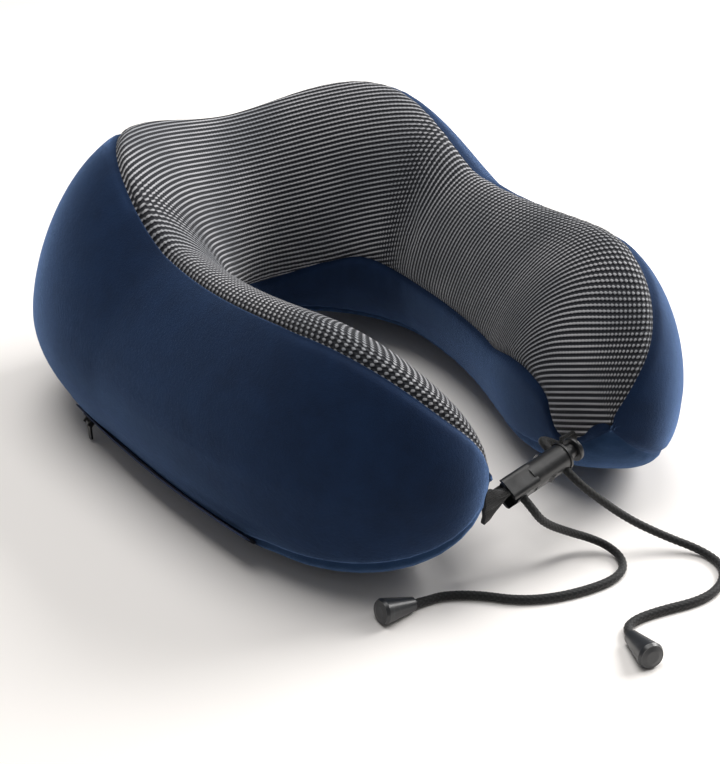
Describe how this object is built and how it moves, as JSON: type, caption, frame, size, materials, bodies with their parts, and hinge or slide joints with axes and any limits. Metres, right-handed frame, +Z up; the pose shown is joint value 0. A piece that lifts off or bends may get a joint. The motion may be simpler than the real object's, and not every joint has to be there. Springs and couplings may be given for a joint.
{
  "type": "u-shaped neck pillow",
  "caption": "U-shaped foam neck pillow in a velour and striped mesh cover, unzipping at the base, with arm ends joined by a plug-in drawcord clasp.",
  "frame": {"origin": "centre of the pillow's footprint, at the surface it stands on", "axes": "+X to the right and +Y away when looking at the open side of the U, +Z up"},
  "size_m": [0.29, 0.3937, 0.1445],
  "materials": {
    "foam": "open-cell foam",
    "velour": "short-pile velour, soft sheen",
    "striped_mesh": "rib knit with black and white stripes",
    "zipper_tape": "woven tape",
    "zipper_nylon": "nylon coil",
    "zipper_metal": "dark lacquer",
    "clasp_plastic": "fine satin texture",
    "spring_steel": "plain",
    "webbing": "woven",
    "braid": "braided",
    "bell_plastic": "semi-gloss"
  },
  "bodies": {
    "pillow": {"foam_core": "foam", "side_cover": "velour", "mesh_panel": "striped_mesh", "inner_band": "velour", "base_panel": "velour", "zipper_tape_upper": "zipper_tape", "zipper_tape_lower": "zipper_tape", "zipper_teeth_upper": "zipper_nylon", "zipper_teeth_lower": "zipper_nylon", "zipper_stops": "zipper_metal", "clasp_socket": "clasp_plastic", "lock_spring": "spring_steel", "tip_tab_left": "webbing", "tip_tab_right": "webbing", "cord_right": "braid", "cord_bell_right": "bell_plastic", "bell_plug_right": "bell_plastic"},
    "slider": {"zipper_slider": "zipper_metal"},
    "pull": {"zipper_pull": "zipper_metal"},
    "plug": {"clasp_plug": "clasp_plastic", "cord_left": "braid", "cord_bell_left": "bell_plastic", "bell_plug_left": "bell_plastic"},
    "prong_front": {"release_prong_front": "clasp_plastic"},
    "prong_back": {"release_prong_back": "clasp_plastic"},
    "button": {"lock_button": "clasp_plastic"}
  },
  "joints": [
    {"name": "zipper_travel", "type": "hinge", "parent": "pillow", "child": "slider", "pos_m": [0.55327, 0.04472, 0.014], "axis": [0, 0, 1], "range_deg": [0, 11.24]},
    {"name": "zipper_pull_swing", "type": "hinge", "parent": "slider", "child": "pull", "pos_m": [-0.13233, 0.0568, 0.01181], "axis": [0.0176, 0.9998, 0], "range_deg": [-30, 110]},
    {"name": "clasp_release", "type": "slide", "parent": "pillow", "child": "plug", "axis": [-0.9877, -0.0864, -0.1305], "range_m": [0, 0.0034], "deforming": ["tip_tab_left"]},
    {"name": "prong_front_flex", "type": "hinge", "parent": "plug", "child": "prong_front", "pos_m": [-0.01042, -0.14977, 0.04131], "axis": [-0.069, -0.5079, 0.8586], "range_deg": [0, 15.5]},
    {"name": "prong_back_flex", "type": "hinge", "parent": "plug", "child": "prong_back", "pos_m": [-0.01137, -0.14395, 0.04468], "axis": [0.069, 0.5079, -0.8586], "range_deg": [0, 15.5]},
    {"name": "lock_button_press", "type": "slide", "parent": "pillow", "child": "button", "axis": [-0.9877, -0.0864, -0.1305], "range_m": [0, 0.0015], "stiffness_N_per_m": 900, "springref_m": -0.0005, "deforming": ["lock_spring"]}
  ],
  "couplings": [
    {"joint": "prong_front_flex", "follows": "clasp_release", "rad_per_m": 79.567},
    {"joint": "prong_back_flex", "follows": "clasp_release", "rad_per_m": 79.567}
  ]
}
